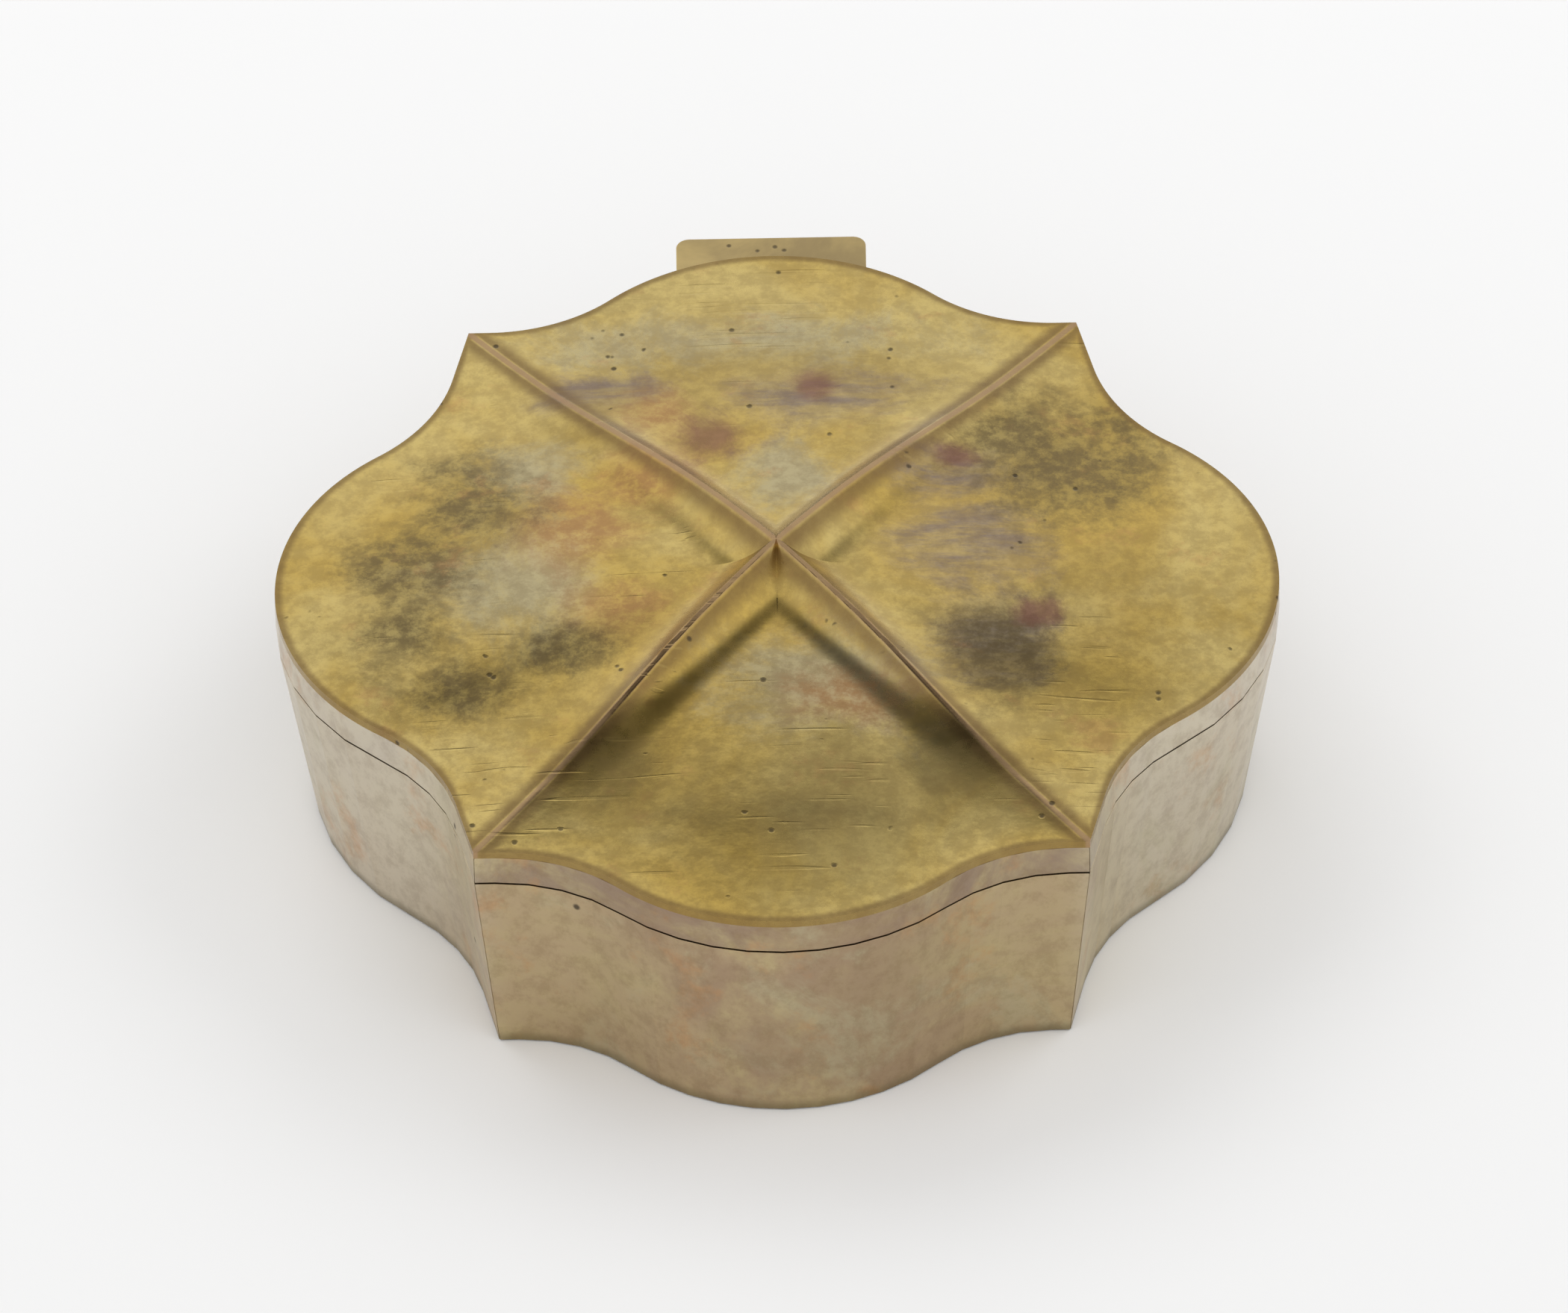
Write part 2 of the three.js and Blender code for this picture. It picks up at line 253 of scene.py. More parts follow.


# %% [markdown]
# The lid is yellow brass under a thin patina. Olive clouds lie on it, with lilac and copper stains.
# Metal takes its whole colour from what it mirrors, so these colours are the tints of reflections.

# %% Colours of the patina and of painted light
GOLD = (0.62, 0.43, 0.11, 1)
PALE_GOLD = (0.70, 0.54, 0.20, 1)
DULL_GOLD = (0.38, 0.27, 0.09, 1)
# Dark olive serves the tarnish stains, the painted dark reflection on the front panel and the painted shade
# along the wall foot.
DARK_OLIVE = (0.15, 0.12, 0.06, 1)
GREY_GREEN = (0.50, 0.45, 0.29, 1)
VIOLET_GREY = (0.27, 0.21, 0.18, 1)
PURPLE_RED = (0.24, 0.10, 0.09, 1)
COPPER = (0.56, 0.29, 0.12, 1)
# Rosy tint of the painted highlight along the ridge crests.
ROSE_HIGHLIGHT = (0.42, 0.27, 0.15, 1)
BROWN = (0.20, 0.12, 0.05, 1)
PIT = (0.06, 0.05, 0.04, 1)

# %% [markdown]
# The stains lie on the lid: each row is a middle and two half sizes, in millimetres. They are dark
# tarnish, violet streaks, small red marks, copper spots and grey-green clouds. The dark strips of the
# front panel are no stain but a painted reflection of the dark band that the panel mirrors.

# %% Places of the stains and of the painted reflection
DARK_PLACES = [
    (-46, 18, 12, 12), (-54, 5, 11, 12), (-56, -10, 9, 12), (-49, -24, 10, 8), (-32, -16, 10, 6),
    (43, 24, 16, 15), (35, 31, 12, 8), (34, -19, 10, 12),
]
VIOLET_PLACES = [(5, 40, 17, 9), (-27, 43, 12, 5), (24, 22, 12, 8), (29, 5, 12, 11), (33, -15, 10, 11)]
RED_PLACES = [(-9, 31, 7, 7), (6, 43, 4, 4), (39, -10, 4, 3), (27, 26, 4, 3)]
COPPER_PLACES = [(-18, 37, 7, 8), (-19, 20, 9, 9), (-30, 10, 11, 12), (-24, -8, 10, 8), (8, -30, 12, 7)]
GREEN_PLACES = [(-4, 55, 30, 8), (-36, 24, 9, 8), (2, 22, 9, 8), (4, -28, 17, 13), (-38, -2, 14, 14)]
# The front panel's strips are a painted reflection: the dark band that the panel mirrors.
PAINTED_REFLECTION_PLACES = [(1, -53, 23, 6), (-26, -42, 9, 9), (27, -42, 9, 9)]

# %% [markdown]
# A stain isn't a flat colour: flecks break some of them up, and streaks others. Each row below
# says how much of a stain always covers, and how much more a texture adds. A texture is a noise,
# given by its scale, detail, roughness and warp, with the two levels between which it sets in.

# %% Stains and their textures
LID_TEXTURES = {
    "cloud": {"noise": (26.0, 5.0, 0.6, 0.6), "edges": (0.35, 0.65)},
    "haze": {"noise": (18.0, 5.0, 0.62, 1.0), "edges": (0.40, 0.64)},
    "fleck": {"noise": (330.0, 7.0, 0.75), "edges": (0.36, 0.62)},
    "streak": {"noise": (240.0, 6.0, 0.7), "edges": (0.38, 0.62), "stretch": (0.22, 1.0, 1.0)},
    "blot": {"noise": (75.0, 6.0, 0.68), "edges": (0.58, 0.7)},
}
STAINS_AND_PAINTED_REFLECTION = [
    {"places": GREEN_PLACES, "colour": GREY_GREEN, "cover": 0.75},
    {"places": COPPER_PLACES, "colour": COPPER, "cover": 0.25, "texture": "fleck", "more": 0.5},
    {"places": VIOLET_PLACES, "colour": VIOLET_GREY, "cover": 0.35, "texture": "streak", "more": 0.55},
    {"places": DARK_PLACES, "colour": DARK_OLIVE, "cover": 0.45, "texture": "fleck", "more": 0.4},
    # Painted reflection: the front panel's dark band, painted in dark olive.
    {"places": PAINTED_REFLECTION_PLACES, "colour": DARK_OLIVE, "cover": 0.4},
    {"places": RED_PLACES, "colour": PURPLE_RED, "cover": 0.7},
]
RAGGED = (40.0, 9.0, 0.74, 0.4)
RAGGED_REACH = 3.4
NOISE_MEAN = 0.5


def add_stains_and_painted_reflection(paint, colour, masks):
    ragged = (paint.noise(*RAGGED) - NOISE_MEAN) * RAGGED_REACH
    for patch_spec in STAINS_AND_PAINTED_REFLECTION:
        cover = patch_spec["cover"]
        if "texture" in patch_spec:
            cover = masks[patch_spec["texture"]] * patch_spec["more"] + cover
        colour = paint.mix(paint.patches(patch_spec["places"], ragged) * cover, colour, patch_spec["colour"])
    return colour


print("stains", sum(len(patch_spec["places"]) for patch_spec in STAINS_AND_PAINTED_REFLECTION))

# %% [markdown]
# Four ridges run from the middle of the lid to the four corners of its rim. Each has a rosy painted
# highlight on its crest, and a brown line of painted shade beside it; another brown line runs along
# the rim. The lines could be painted on a map, but they follow the shape exactly when they are worked
# out from the same corner.

# %% Lines along the ridges and the rim
CORNER_X = 0.0457
CORNER_Y = 0.0590
RIDGE_LENGTH = math.hypot(CORNER_X, CORNER_Y)
CREST_HIGHLIGHT_ENDS = (0.0003, 0.0007)
CREST_HIGHLIGHT_SHARE = 0.85
SHADE_LINE_STARTS = (0.0004, 0.0009)
SHADE_LINE_ENDS = (0.0012, 0.0034)
SHADE_LINE_SHARE = 0.7
RIM_LINE_STARTS = (0.978, 0.994)
RIM_LINE_SHARE = 0.65


def lined(paint, colour, out):
    across = abs(abs(paint.x) * CORNER_Y - abs(paint.y) * CORNER_X) / RIDGE_LENGTH
    # Painted shade: a brown line beside each ridge.
    beside_shade = paint.step(across, *SHADE_LINE_STARTS) * (1.0 - paint.step(across, *SHADE_LINE_ENDS))
    rim_line = paint.step(out, *RIM_LINE_STARTS)
    colour = paint.mix((beside_shade * SHADE_LINE_SHARE).most(rim_line * RIM_LINE_SHARE), colour, BROWN)
    # Painted highlight: a rosy line along each ridge's crest.
    crest_highlight = 1.0 - paint.step(across, *CREST_HIGHLIGHT_ENDS)
    return paint.mix(crest_highlight * CREST_HIGHLIGHT_SHARE, colour, ROSE_HIGHLIGHT)


# %% [markdown]
# Old brass is pitted and finely scratched. Both are smaller than the faces of a mesh that renders
# quickly, so they are masks: they darken the colour, dull the gloss and dent the bump.

# %% Pits and scratches
PIT_CORE = 0.4
PIT_GATE_SCALE = 0.35
PIT_GATE_SOFT = 0.03
SCRATCHES = [{"noise": (900.0, 1.0), "turned": 0.5}, {"noise": (700.0, 1.0), "turned": -0.9}]
SCRATCH_STRETCH = (0.05, 1.0, 1.0)
SCRATCH_EDGES = (0.66, 0.72)
SCRATCH_GATE = {"noise": (40.0, 2.0), "edges": (0.5, 0.62)}


def pits(paint, scale, size, share):
    """Small dark pits where a cell's middle is near and a second noise lets them through."""
    near = 1.0 - paint.step(paint.cells(scale), size * PIT_CORE, size)
    level = 1.0 - share
    gate = paint.step(paint.noise(scale * PIT_GATE_SCALE, 1.0), level, level + PIT_GATE_SOFT)
    return near * gate


def scratches(paint):
    """Fine lines: noise drawn out along one direction, twice."""
    first, second = (paint.spots(edges=SCRATCH_EDGES, stretch=SCRATCH_STRETCH, **line)
                     for line in SCRATCHES)
    return first.most(second) * paint.spots(**SCRATCH_GATE)


# %% [markdown]
# The lid's finish puts these together, from the widest clouds to the smallest pits. The polish is
# best where nothing lies on it, so haze, flecks and pits all add roughness.

# %% Finish of the lid
INNER_ENDS = (0.62, 0.92)
LID_SHARES = {"haze": 0.55, "blot": 0.35, "fleck": 0.28, "pits": 0.7, "scratches": 0.12}
LID_PITS = (330.0, 0.2, 0.36)
LID_GLOSS = (50.0, 4.0)
LID_ROUGH = {"gloss": 0.18, "least": 0.10, "haze": 0.08, "fleck": 0.06, "pits": 0.3}
LID_DENTS = (60.0, 3.0)
LID_GRAIN = (900.0, 2.0)
LID_HEIGHT = {"dents": 0.7, "grain": 0.06, "pits": 0.35, "scratches": 0.12}
LID_BUMP = (0.0003, 0.6)


def lid_colour(paint, masks, out):
    inner = 1.0 - paint.step(out, *INNER_ENDS)
    colour = paint.mix(masks["cloud"], GOLD, PALE_GOLD)
    colour = paint.mix(masks["haze"] * inner * LID_SHARES["haze"], colour, DULL_GOLD)
    colour = add_stains_and_painted_reflection(paint, colour, masks)
    colour = paint.mix(masks["blot"] * LID_SHARES["blot"], colour, COPPER)
    colour = paint.mix(masks["fleck"] * LID_SHARES["fleck"], colour, BROWN)
    colour = lined(paint, colour, out)
    colour = paint.mix(masks["pits"] * LID_SHARES["pits"], colour, PIT)
    return paint.mix(masks["scratches"] * LID_SHARES["scratches"], colour, PALE_GOLD)


def lid_finish():
    paint = Finish("patinated lid brass with painted light")
    out = Wire(paint.tree, paint.node("ShaderNodeAttribute", {"attribute_name": "out"}).outputs["Fac"])
    masks = {name: paint.spots(**texture) for name, texture in LID_TEXTURES.items()}
    masks["pits"] = pits(paint, *LID_PITS)
    masks["scratches"] = scratches(paint)
    rough = paint.noise(*LID_GLOSS) * LID_ROUGH["gloss"] + LID_ROUGH["least"]
    for name in ("haze", "fleck", "pits"):
        rough = rough + masks[name] * LID_ROUGH[name]
    height = paint.noise(*LID_DENTS) * LID_HEIGHT["dents"] + paint.noise(*LID_GRAIN) * LID_HEIGHT["grain"]
    for name in ("pits", "scratches"):
        height = height - masks[name] * LID_HEIGHT[name]
    return paint.finish(lid_colour(paint, masks, out), rough.held(), height, *LID_BUMP)


# %% [markdown]
# The walls and the lid's band are paler: beige and mauve in front, and paled towards grey on the
# flanks by a painted reflection of the white floor. Along the foot of the walls lies painted shade,
# where they meet the floor. All four walls share one finish, which changes with the place on the box,
# so that the colour runs on round a corner. A finish for each wall would show a seam there. The bands
# have the same recipe with a tint of their own.

# %% Colours of the walls
WALL_GOLD = (0.55, 0.45, 0.24, 1)
MAUVE = (0.35, 0.24, 0.16, 1)
PALE_FLANK_REFLECTION = (0.66, 0.60, 0.49, 1)
WALL_CLOUD = {"noise": (30.0, 7.0, 0.68, 0.8), "edges": (0.38, 0.62)}
WALL_MAUVE = {"noise": (34.0, 6.0, 0.66), "edges": (0.38, 0.56)}
MAUVE_SHARE = 0.7
MAUVE_ENDS = (0.010, 0.036)
FLANK_REFLECTION_STARTS = (0.040, 0.056)
FLANK_REFLECTION_SHARE = 0.8
FOOT_SHADE_ENDS = (0.0002, 0.0022)
FOOT_SHADE_SHARE = 0.5
WALL_STAINS = [
    {"colour": COPPER, "share": 0.45, "texture": {"noise": (60.0, 7.0, 0.7), "edges": (0.54, 0.68)}},
    {"colour": GREY_GREEN, "share": 0.5, "texture": {"noise": (42.0, 7.0, 0.7, 0.5), "edges": (0.52, 0.66)}},
    {"colour": BROWN, "share": 0.25, "texture": {"noise": (300.0, 7.0, 0.75), "edges": (0.42, 0.66)}},
]


def wall_colour(paint, tint):
    colour = paint.mix(paint.spots(**WALL_CLOUD), tint, WALL_GOLD)
    front = 1.0 - paint.step(abs(paint.x), *MAUVE_ENDS)
    colour = paint.mix(front * paint.spots(**WALL_MAUVE) * MAUVE_SHARE, colour, MAUVE)
    # Painted reflection: the flanks paled towards grey, for the white floor they mirror.
    colour = paint.mix(paint.step(abs(paint.x), *FLANK_REFLECTION_STARTS) * FLANK_REFLECTION_SHARE, colour, PALE_FLANK_REFLECTION)
    for patch_spec in WALL_STAINS:
        colour = paint.mix(paint.spots(**patch_spec["texture"]) * patch_spec["share"], colour, patch_spec["colour"])
    # Painted shade: the wall darkens over its lowest 2 mm, where it meets the floor.
    foot_shade = 1.0 - paint.step(paint.z, *FOOT_SHADE_ENDS)
    return paint.mix(foot_shade * FOOT_SHADE_SHARE, colour, DARK_OLIVE)


# %% [markdown]
# The walls are a little duller than the lid, and pitted in the same way.

# %% Finish of the walls
WALL_PITS = (260.0, 0.2, 0.34)
WALL_PIT_SHARE = 0.8
WALL_GLOSS = (60.0, 4.0)
WALL_ROUGH = {"gloss": 0.2, "least": 0.22, "pits": 0.3}
WALL_DENTS = (80.0, 3.0)
WALL_GRAIN = (800.0, 2.0)
WALL_HEIGHT = {"dents": 0.5, "grain": 0.06, "pits": 0.4}
WALL_BUMP = (0.0003, 0.5)


def wall_finish(name, lift, tint):
    paint = Finish(name)
    specks = pits(paint, *WALL_PITS)
    colour = paint.mix(specks * WALL_PIT_SHARE, wall_colour(paint, tint), PIT)
    rough = paint.noise(*WALL_GLOSS) * WALL_ROUGH["gloss"] + WALL_ROUGH["least"] + lift
    rough = rough + specks * WALL_ROUGH["pits"]
    height = paint.noise(*WALL_DENTS) * WALL_HEIGHT["dents"]
    height = height + paint.noise(*WALL_GRAIN) * WALL_HEIGHT["grain"] - specks * WALL_HEIGHT["pits"]
    return paint.finish(colour, rough.held(), height, *WALL_BUMP)


# %% [markdown]
# The inside, the hinge and its pin are seen little or not at all in the photograph. They get one
# plain worn finish of two tints, because detail there would be made up.

# %% Finish of the plain parts
DULL_CLOUD = {"noise": (60.0, 5.0, 0.6, 0.4), "edges": (0.35, 0.65)}
DULL_PITS = (380.0, 0.2, 0.4)
DULL_PIT_SHARE = 0.7
DULL_GLOSS = (90.0, 3.0)
DULL_GLOSS_SPREAD = 0.2
DULL_DENTS = (250.0, 3.0)
DULL_HEIGHT = {"dents": 0.4, "pits": 0.3}
DULL_BUMP = (0.0002, 0.5)


def dull_finish(name, first, second, roughness):
    paint = Finish(name)
    specks = pits(paint, *DULL_PITS)
    colour = paint.mix(paint.spots(**DULL_CLOUD), first, second)
    colour = paint.mix(specks * DULL_PIT_SHARE, colour, PIT)
    rough = paint.noise(*DULL_GLOSS) * DULL_GLOSS_SPREAD + roughness
    height = paint.noise(*DULL_DENTS) * DULL_HEIGHT["dents"] - specks * DULL_HEIGHT["pits"]
    return paint.finish(colour, rough.held(), height, *DULL_BUMP)


# %% [markdown]
# Each material slot of the frame gets its finish. The walls are a shade rougher than the band.

# %% One finish for each slot
BEIGE = (0.50, 0.38, 0.23, 1)
BAND_ROSE = (0.34, 0.25, 0.18, 1)
INSIDE_LIGHT = (0.50, 0.38, 0.20, 1)
INSIDE_DARK = (0.30, 0.24, 0.14, 1)
HINGE_LIGHT = (0.66, 0.50, 0.22, 1)
HINGE_DARK = (0.44, 0.33, 0.16, 1)
STEEL_LIGHT = (0.55, 0.53, 0.50, 1)
STEEL_DARK = (0.32, 0.28, 0.24, 1)
WALL_LIFT = 0.05
BAND_LIFT = 0.0
INSIDE_ROUGHNESS = 0.35
HINGE_ROUGHNESS = 0.28
STEEL_ROUGHNESS = 0.25

finishes = {
    "brass_lid": lid_finish(),
    "brass_wall": wall_finish("patinated wall brass with painted light", WALL_LIFT, BEIGE),
    "brass_band": wall_finish("patinated band brass with painted reflection", BAND_LIFT, BAND_ROSE),
    "brass_inside": dull_finish("dull inside brass", INSIDE_LIGHT, INSIDE_DARK, INSIDE_ROUGHNESS),
    "brass_hinge": dull_finish("dull hinge brass", HINGE_LIGHT, HINGE_DARK, HINGE_ROUGHNESS),
    "steel_pin": dull_finish("worn steel", STEEL_LIGHT, STEEL_DARK, STEEL_ROUGHNESS),
}
print("finishes", len(finishes))

# %% [markdown]
# Every finished piece moves with a body, wears a slot, and hides the solid of the frame that it
# stands for. The frame's record lists each solid's body and slot, so they are read there and not typed
# again.

# %% Put a piece in the frame
slot_of = {part["node"]: part["material_slot"] for part in frame["record"]["subparts"]}
bodies = frame["record"]["behaviour"]["bodies"]
body_of = {node: body for body, nodes in bodies.items() for node in nodes}


def place_piece(name, mesh, node):
    piece = bpy.data.objects.new(name, mesh)
    bpy.context.scene.collection.objects.link(piece)
    mesh.materials.clear()
    mesh.materials.append(finishes[slot_of[node]])
    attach(piece, body_of[node])
    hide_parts(node)
    return piece


# %% [markdown]
# Bent sheet has no knife edges: each edge is rounded a little and catches a line of light. A bevel
# modifier does that on any piece, and smooth shading between the sharp edges keeps curves round.

# %% Soft edges
SHARP = math.radians(32)
BEVEL_STEPS = 2


def smooth(mesh):
    for face in mesh.polygons:
        face.use_smooth = True
    mesh.set_sharp_from_angle(angle=SHARP)


def add_bevel(piece, width):
    bevel = piece.modifiers.new("soft edge", "BEVEL")
    bevel.width = width
    bevel.segments = BEVEL_STEPS
    bevel.limit_method = "ANGLE"
    bevel.angle_limit = SHARP
    bevel.harden_normals = True


# %% [markdown]
# The walls, bands, collar, floor and hinge already have the right shape in the frame. Modelling
# them again would only add errors. But a frame's mesh is loose flat triangles, so each piece is a
# copy whose points are merged and whose flat faces are joined.

# %% Dress the sheet pieces
EDGE = 0.00012
MERGE_DISTANCE = 1e-6
FLAT = math.radians(0.5)


def dress(node):
    work = bmesh.new()
    work.from_mesh(frame["nodes"][node].data)
    bmesh.ops.remove_doubles(work, verts=work.verts, dist=MERGE_DISTANCE)
    bmesh.ops.dissolve_limit(work, angle_limit=FLAT, verts=work.verts, edges=work.edges)
    mesh = bpy.data.meshes.new(node + "_smooth")
    work.to_mesh(mesh)
    work.free()
    smooth(mesh)
    add_bevel(place_piece(node + "_smooth", mesh, node), EDGE)


for node in frame["nodes"]:
    if node != "lid_top":
        dress(node)
print("dressed", len(frame["nodes"]) - 1)

# %% [markdown]
# The lid's relief is too fine for the frame's triangles, so its sheet is made again. Its height is
# a formula: low dished panels, and four ridges that rise above them with hollow flanks and fade out
# at the rim. Sculpting could do it too, but a formula keeps the lid symmetric. The panels rise a
# little higher than the frame's, because the reflections then come nearer to the photograph's.

# %% Heights of the lid
PEAK_RISE = 0.0093
RIDGE_FLAT = 0.0004
RIDGE_FILLET = 0.0075
FILLET_POWER = 2.2
RIDGE_SWAY = 0.1
RIM_FADE_POWER = 8
PANEL_RISE = 0.46
PANEL_ROUND = 2.2
PANEL_LIP = 1.5


def lid_height(x, y, out):
    along = (abs(x) * CORNER_X + abs(y) * CORNER_Y) / RIDGE_LENGTH
    away = abs(abs(x) * CORNER_Y - abs(y) * CORNER_X) / RIDGE_LENGTH
    blend = max(0.0, 1 - max(0.0, away - RIDGE_FLAT) / RIDGE_FILLET) ** FILLET_POWER
    share = min(1.0, along / RIDGE_LENGTH)
    panel = PEAK_RISE * PANEL_RISE * (1 - out ** PANEL_ROUND) ** PANEL_LIP
    ridge = PEAK_RISE * (1 - share + RIDGE_SWAY * math.sin(2 * math.pi * share))
    return RIM_Z + panel + (max(panel, ridge) - panel) * blend * (1 - out ** RIM_FADE_POWER)


print("peak at", round(lid_height(0, 0, 0), 5))

# %% [markdown]
# Each side of the rim is an ogee: a short straight at the corner, a hollow curve, and a swelling
# curve round the lobe. It could be read off the frame's lid, but its arcs are coarse there. So the
# outline is worked out again, from the same sizes as the frame's lid.

# %% Curves of a side
FLANK_LEAVE = math.radians(13)
FRONT_LOBE = {"half": CORNER_X, "bulge": 0.0166, "leave": 0.0, "straight": 0.0031, "hollow": 0.027}
FLANK_LOBE = {
    "half": CORNER_Y, "bulge": 0.0293, "leave": FLANK_LEAVE, "straight": 0.011, "hollow": 0.030,
}
SEARCH_STEPS = 60
SEARCH_ABOVE_LEAVE = 0.05
SEARCH_BELOW_SQUARE = 0.01


def ogee(side):
    """The angle where the hollow curve meets the swelling one, and the swelling one's radius."""
    start, straight, hollow = side["leave"], side["straight"], side["hollow"]
    low, high = start + SEARCH_ABOVE_LEAVE, math.pi / 2 - SEARCH_BELOW_SQUARE
    for _ in range(SEARCH_STEPS):
        angle = (low + high) / 2
        run = side["half"] - straight * math.cos(start) - hollow * (math.sin(angle) - math.sin(start))
        swell = run / math.sin(angle)
        rise = straight * math.sin(start) + hollow * (math.cos(start) - math.cos(angle))
        rise += swell * (1 - math.cos(angle))
        low, high = (angle, high) if rise < side["bulge"] else (low, angle)
    return angle, swell


# %% [markdown]
# With the angle known, half a side is drawn from its middle to its corner, and then mirrored.

# %% Points of a side
SWELL_STEPS = 26
HOLLOW_STEPS = 20
STRAIGHT_STEP = 0.00045


def half_side(side):
    angle, swell = ogee(side)
    points = []
    for step in range(SWELL_STEPS + 1):
        at = angle * step / SWELL_STEPS
        points.append((swell * math.sin(at), side["bulge"] - swell + swell * math.cos(at)))
    reach = swell + side["hollow"]
    middle = (reach * math.sin(angle), side["bulge"] - swell + reach * math.cos(angle))
    for step in range(1, HOLLOW_STEPS + 1):
        at = angle + (side["leave"] - angle) * step / HOLLOW_STEPS
        u = middle[0] - side["hollow"] * math.sin(at)
        v = middle[1] - side["hollow"] * math.cos(at)
        points.append((u, v))
    steps = round(side["straight"] / STRAIGHT_STEP)
    for step in range(1, steps + 1):
        share = step / steps
        points.append((u + (side["half"] - u) * share, v - v * share))
    return points


def whole_side(side):
    half = half_side(side)
    return [(-u, v) for u, v in reversed(half[1:])] + half


# %% [markdown]
# Four such sides, each turned a quarter further, close the rim. How far it reaches is compared with
# the frame's own lid, because a lid that is wider than its band would show at once.

# %% Outline of the rim
front_side = whole_side(FRONT_LOBE)
flank_side = whole_side(FLANK_LOBE)
rim = [(u, -CORNER_Y - v) for u, v in front_side[:-1]]
rim += [(CORNER_X + v, u) for u, v in flank_side[:-1]]
rim += [(-u, CORNER_Y + v) for u, v in front_side[:-1]]
rim += [(-CORNER_X - v, -u) for u, v in flank_side[:-1]]
rim_reach = max(x for x, y in rim)
frame_reach = max(vert.co.x for vert in frame["nodes"]["lid_top"].data.vertices)
print("rim points", len(rim), "wider than the frame's lid by", round((rim_reach - frame_reach) / MM, 4), "mm")

# %% [markdown]
# The top of the sheet is drawn from its rim: the outline is extruded inwards ring by ring and closed
# in the middle, and then every point is lifted. A grid could be cut to the outline, but its squares
# would meet the rim at odd angles, while rings run along it. Each point also keeps how far out it
# lies, from 0 in the middle to 1 at the rim, and the finish reads that.

# %% Rings of the lid
RINGS = 64
QUAD_CORNERS = 4


def of_kind(items, kind):
    return [item for item in items if isinstance(item, kind)]


def draw_in(work, layer, edges, step, stride):
    """Extrude a ring to one that lies a stride nearer the middle."""
    grown = bmesh.ops.extrude_edge_only(work, edges=edges)["geom"]
    inner = of_kind(grown, bmesh.types.BMVert)
    share = step / (step + stride)
    for vert in inner:
        vert.co.x *= share
        vert.co.y *= share
        vert[layer] = step / RINGS
    return of_kind(grown, bmesh.types.BMEdge), inner


def close_middle(work, layer, edges):
    """Fill the last ring with a fan of triangles, and return the point in its middle."""
    bmesh.ops.contextual_create(work, geom=[edge for edge in edges if edge.is_boundary])
    wide = [face for face in work.faces if len(face.verts) > QUAD_CORNERS]
    hub = bmesh.ops.poke(work, faces=wide)["verts"]
    for vert in hub:
        vert[layer] = 0.0
    return hub


def lift(verts, layer, drop):
    for vert in verts:
        vert.co.z = lid_height(vert.co.x, vert.co.y, vert[layer]) - drop


# %% [markdown]
# The top starts as the rim itself, and its rings are drawn in flat. Every point is lifted only when
# the middle is closed, so that one pass gives them all their height.


# %% Top of the lid
def draw_top(work, layer):
    ring = [work.verts.new((x, y, RIM_Z)) for x, y in rim]
    for vert in ring:
        vert[layer] = 1.0
    edges = [work.edges.new((a, b)) for a, b in zip(ring, ring[1:] + ring[:1])]
    for step in range(RINGS - 1, 0, -1):
        edges, _ = draw_in(work, layer, edges, step, 1)
    for vert in close_middle(work, layer, edges):
        vert.co = (0, 0, 0)
    lift(work.verts, layer, 0.0)
    bmesh.ops.recalc_face_normals(work, faces=work.faces)
    largest = max(work.faces, key=lambda face: face.calc_area())
    if largest.normal.z < 0:
        bmesh.ops.reverse_faces(work, faces=work.faces)


# %% [markdown]
# The underside is a sheet's thickness lower. A Solidify modifier could make it, but it would carry
# every fine ring of the top to a face that is seldom seen. So it has a quarter of the rings.

# %% Underside of the lid
SHEET = 0.0012
UNDER_STRIDE = 4


def draw_underside(work, layer):
    rim_edges = [edge for edge in work.edges if edge.is_boundary]
    skirt = bmesh.ops.extrude_edge_only(work, edges=rim_edges)["geom"]
    for vert in of_kind(skirt, bmesh.types.BMVert):
        vert.co.z -= SHEET
        vert[layer] = 1.0
    edges = of_kind(skirt, bmesh.types.BMEdge)
    for step in range(RINGS - UNDER_STRIDE, 0, -UNDER_STRIDE):
        edges, inner = draw_in(work, layer, edges, step, UNDER_STRIDE)
        lift(inner, layer, SHEET)
    for vert in close_middle(work, layer, edges):
        vert.co.z = lid_height(0, 0, 0) - SHEET
    bmesh.ops.recalc_face_normals(work, faces=work.faces)


# %% [markdown]
# Top and underside are one closed mesh. It stands for the frame's lid top and turns with the lid.

# %% Lid sheet
LID_EDGE = 0.00025


def lid_mesh():
    work = bmesh.new()
    layer = work.verts.layers.float.new("out")
    draw_top(work, layer)
    draw_underside(work, layer)
    mesh = bpy.data.meshes.new("lid_sheet")
    work.to_mesh(mesh)
    work.free()
    return mesh


sheet_mesh = lid_mesh()
smooth(sheet_mesh)
add_bevel(place_piece("lid_sheet", sheet_mesh, "lid_top"), LID_EDGE)
print("lid faces", len(sheet_mesh.polygons))

# %% [markdown]
# Polished metal shows what stands round it, so the studio matters as much as the finish. The box
# stands on a plain floor, near white, as in the photograph. It is part of the stage and moves with
# no body of the box.

# %% Studio floor
FLOOR_HALF = 4.0
FLOOR_DROP = 0.0002
FLOOR_COLOUR = (0.97, 0.97, 0.97, 1)
FLOOR_ROUGHNESS = 0.9

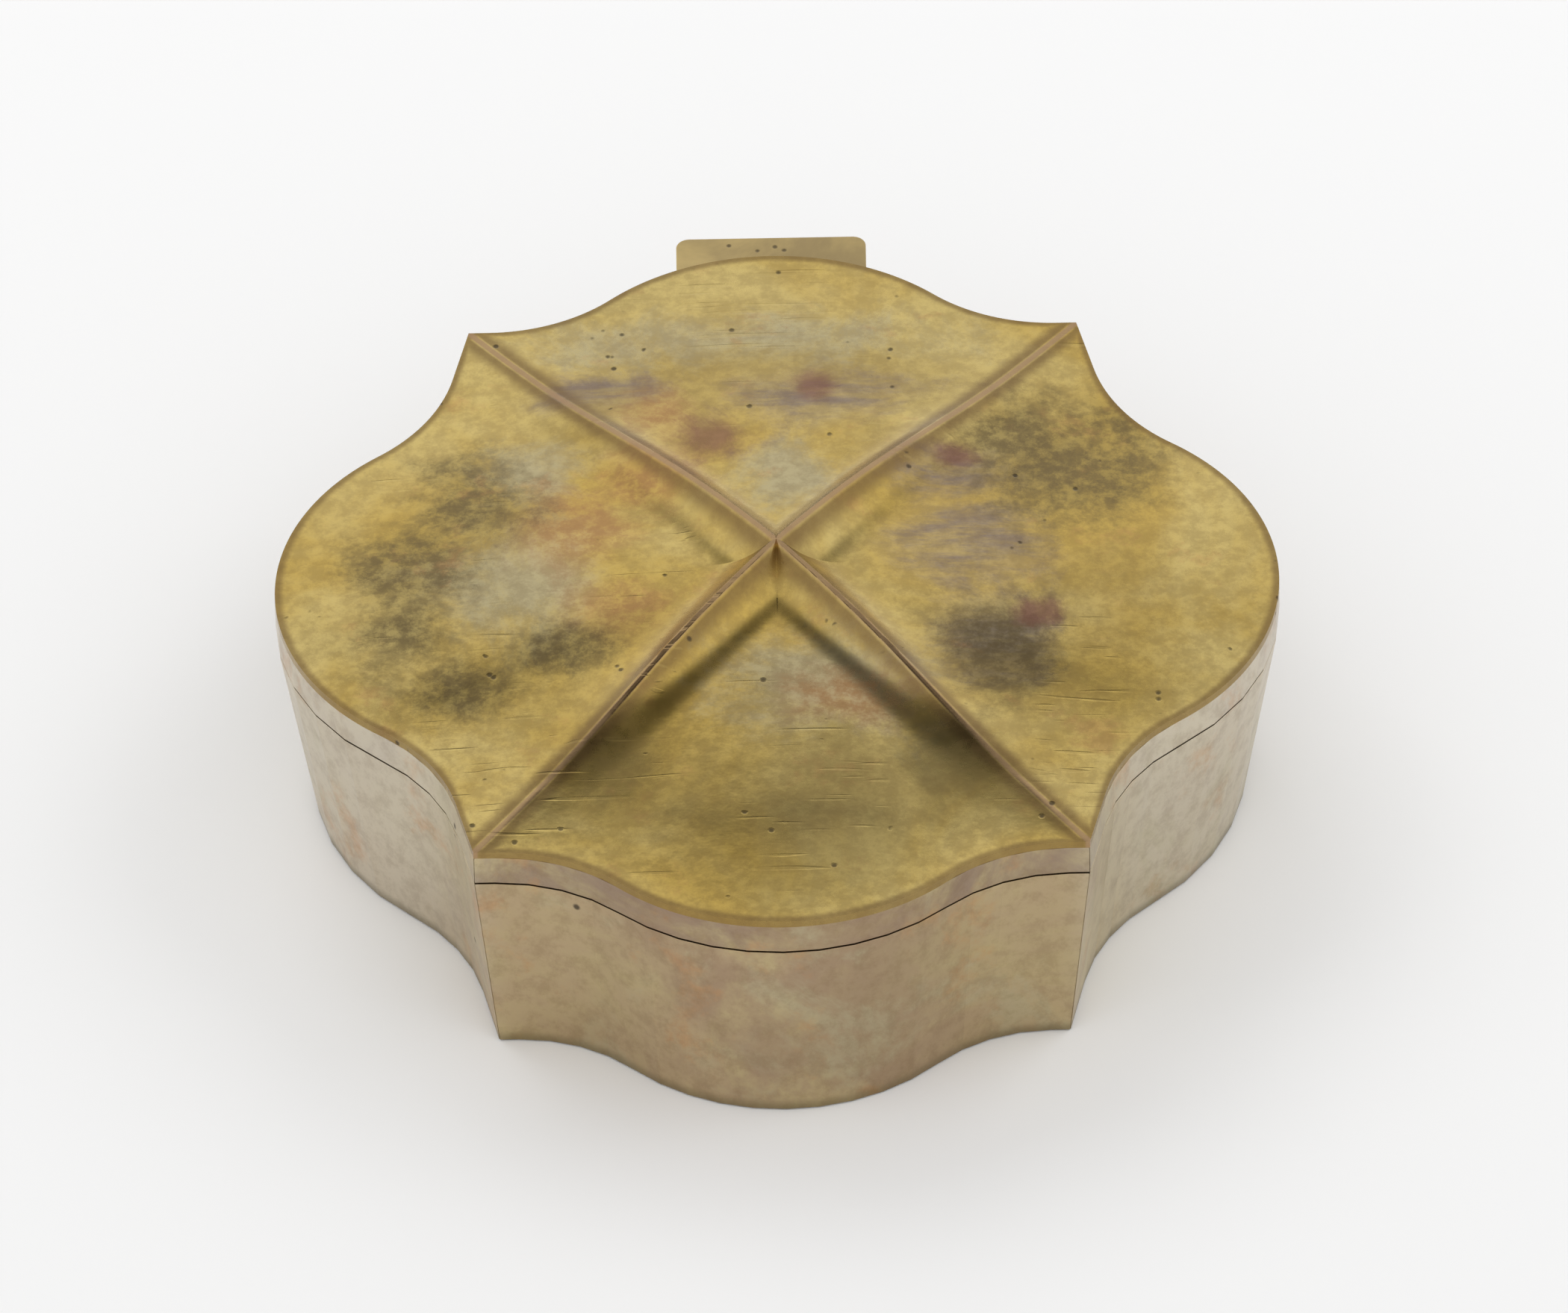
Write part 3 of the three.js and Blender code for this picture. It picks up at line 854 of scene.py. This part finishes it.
floor_mesh = bpy.data.meshes.new("studio_floor")
floor_work = bmesh.new()
bmesh.ops.create_grid(floor_work, x_segments=1, y_segments=1, size=FLOOR_HALF)
floor_work.to_mesh(floor_mesh)
floor_work.free()
floor = bpy.data.objects.new("studio_floor", floor_mesh)
floor.location.z = -FLOOR_DROP
bpy.context.scene.collection.objects.link(floor)
floor_paint = Finish("white floor")
floor_paint.shader.inputs["Base Color"].default_value = FLOOR_COLOUR
floor_paint.shader.inputs["Roughness"].default_value = FLOOR_ROUGHNESS
floor_mesh.materials.append(floor_paint.material)
print("floor half size", FLOOR_HALF)

# %% [markdown]
# The sky is pale but for one dim patch high at the back, which gives the relief its dark strips.
# A dark card on a stand could do the same, but the sky needs no object. The patch is where a ray's
# direction is near a fixed one, and halving the sideways part of it makes the patch wide.

# %% Studio sky
BRIGHT_SKY = (0.90, 0.90, 0.90, 1)
DARK_SKY = (0.08, 0.075, 0.07, 1)
DARK_SIDE = (0.0, 0.36, 0.933)
PATCH_STRETCH = (0.5, 1.0, 1.0)
PATCH_EDGE = 0.935
PATCH_CORE = 0.975
SKY_STRENGTH = 1.0

world = bpy.data.worlds.new("studio")
bpy.context.scene.world = world
world.use_nodes = True
sky = world.node_tree
ray = add_node(sky, "ShaderNodeTexCoord").outputs["Generated"]
wide = add_node(sky, "ShaderNodeVectorMath", {"operation": "MULTIPLY"}, {0: ray, 1: PATCH_STRETCH})
unit = add_node(sky, "ShaderNodeVectorMath", {"operation": "NORMALIZE"}, {0: wide.outputs["Vector"]})
sockets = {0: unit.outputs["Vector"], 1: DARK_SIDE}
towards = add_node(sky, "ShaderNodeVectorMath", {"operation": "DOT_PRODUCT"}, sockets)
stops = [(PATCH_EDGE, BRIGHT_SKY), (PATCH_CORE, DARK_SKY)]
ramp = add_node(sky, "ShaderNodeValToRGB", {}, {"Fac": towards.outputs["Value"]}, stops)
background = sky.nodes["Background"]
sky.links.new(ramp.outputs["Color"], background.inputs["Color"])
background.inputs["Strength"].default_value = SKY_STRENGTH
print("sky nodes", len(sky.nodes))

# %% [markdown]
# Two large soft lamps make the shadow. The metal doesn't mirror them, because their square shapes
# aren't seen in the photograph's reflections.

# %% Lamps
LAMPS = {
    "lamp_back_left": {"place": (-0.7, 1.1, 1.5), "size": (1.4, 1.1), "power": 7.0},
    "lamp_right": {"place": (1.2, 0.6, 1.3), "size": (1.2, 1.0), "power": 4.0},
}


def lamp(name, place, size, power):
    data = bpy.data.lights.new(name, "AREA")
    data.shape = "RECTANGLE"
    data.size, data.size_y = size
    data.energy = power
    light = bpy.data.objects.new(name, data)
    bpy.context.scene.collection.objects.link(light)
    light.location = place
    light.rotation_euler = (-Vector(place)).to_track_quat("-Z", "Y").to_euler()
    light.visible_glossy = False


for name, values in LAMPS.items():
    lamp(name, **values)
print("lamps", len(LAMPS))

# %% [markdown]
# The Standard view shows each colour about as it is written.

# %% Picture settings
bpy.context.scene.view_settings.view_transform = "Standard"
